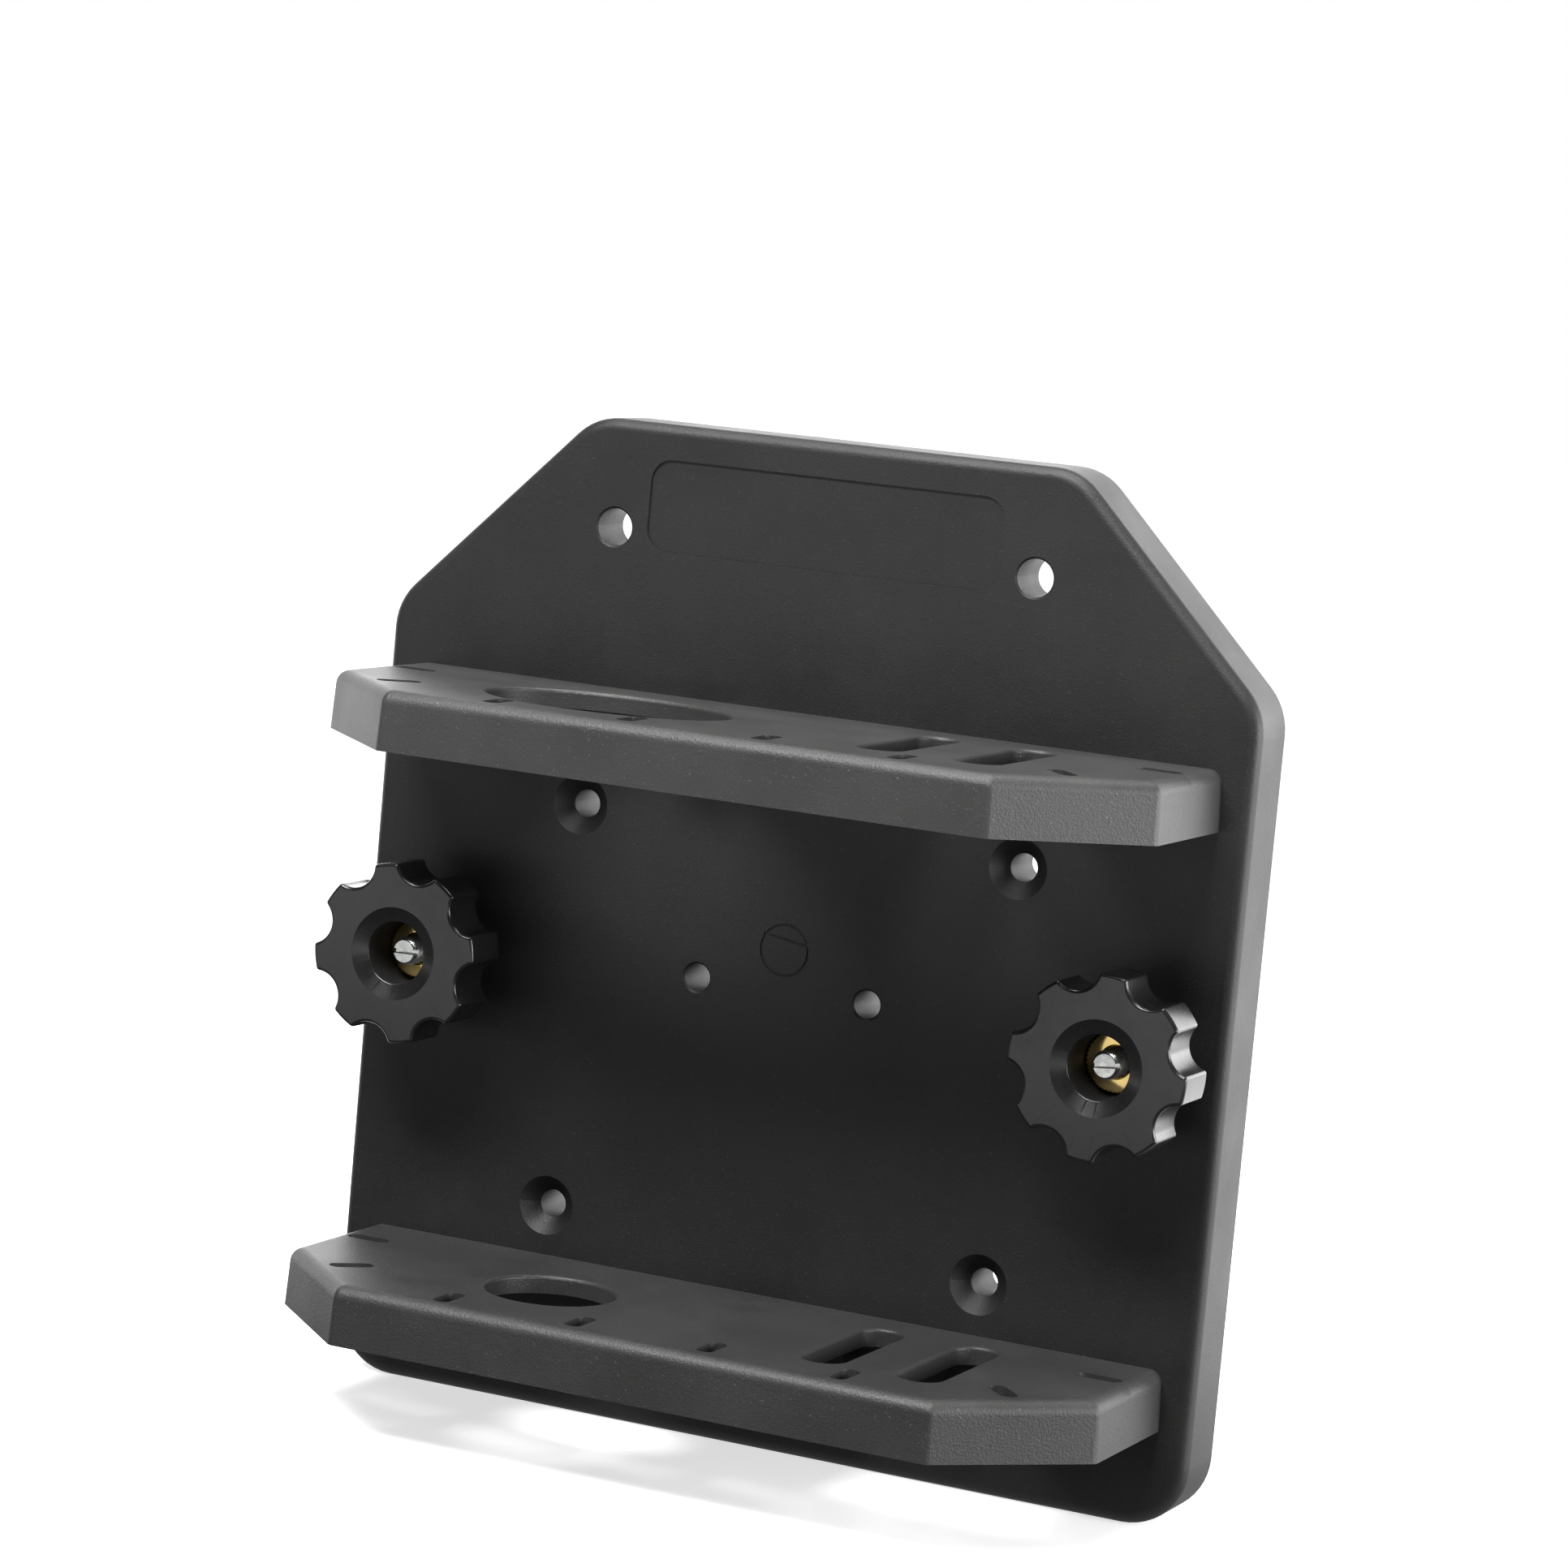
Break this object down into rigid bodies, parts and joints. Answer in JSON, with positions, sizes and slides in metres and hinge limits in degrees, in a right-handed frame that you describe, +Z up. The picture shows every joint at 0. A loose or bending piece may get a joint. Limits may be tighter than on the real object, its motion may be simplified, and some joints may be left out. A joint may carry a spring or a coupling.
{
  "type": "tool organizer rack",
  "caption": "Moulded black two-shelf rack that holds pliers and knives upright, clamped to a rail or track by two lobed hand knobs.",
  "frame": {"origin": "centre of the board's back plane", "axes": "+X to the right as seen from the front, -Y out of the front face, +Z up"},
  "size_m": [0.207, 0.0878, 0.222],
  "materials": {
    "black_board": "fine-grained moulded black plastic, satin sheen",
    "black_shelf": "fine-grained moulded black plastic, satin sheen",
    "black_gloss": "polished black thermoset plastic",
    "brass": "turned brass",
    "zinc_stud": "bright zinc-plated steel",
    "zinc_nut": "zinc-plated steel",
    "zinc_screw": "zinc-plated steel"
  },
  "bodies": {
    "board": {"back_plate": "black_board", "upper_shelf": "black_shelf", "lower_shelf": "black_shelf", "upper_shelf_screws": "zinc_screw", "lower_shelf_screws": "zinc_screw", "left_washer": "zinc_nut", "right_washer": "zinc_nut"},
    "left_knob": {"left_knob": "black_gloss", "left_knob_insert": "brass"},
    "right_knob": {"right_knob": "black_gloss", "right_knob_insert": "brass"},
    "left_clamp": {"left_clamp_stud": "zinc_stud", "left_clamp_nut": "zinc_nut"},
    "right_clamp": {"right_clamp_stud": "zinc_stud", "right_clamp_nut": "zinc_nut"}
  },
  "joints": [
    {"name": "left_knob_turn", "type": "hinge", "parent": "board", "child": "left_knob", "pos_m": [-0.0834, -0.03, -0.0104], "axis": [0, -1, 0], "range_deg": [-720, 1440]},
    {"name": "left_clamp_slide", "type": "slide", "parent": "board", "child": "left_clamp", "axis": [0, 1, 0], "range_m": [-0.00255, 0.00509]},
    {"name": "right_knob_turn", "type": "hinge", "parent": "board", "child": "right_knob", "pos_m": [0.0834, -0.03, -0.0104], "axis": [0, -1, 0], "range_deg": [-720, 1440]},
    {"name": "right_clamp_slide", "type": "slide", "parent": "board", "child": "right_clamp", "axis": [0, 1, 0], "range_m": [-0.00255, 0.00509]}
  ],
  "couplings": [
    {"joint": "left_clamp_slide", "follows": "left_knob_turn", "m_per_rad": 0.00020213},
    {"joint": "right_clamp_slide", "follows": "right_knob_turn", "m_per_rad": 0.00020213}
  ]
}
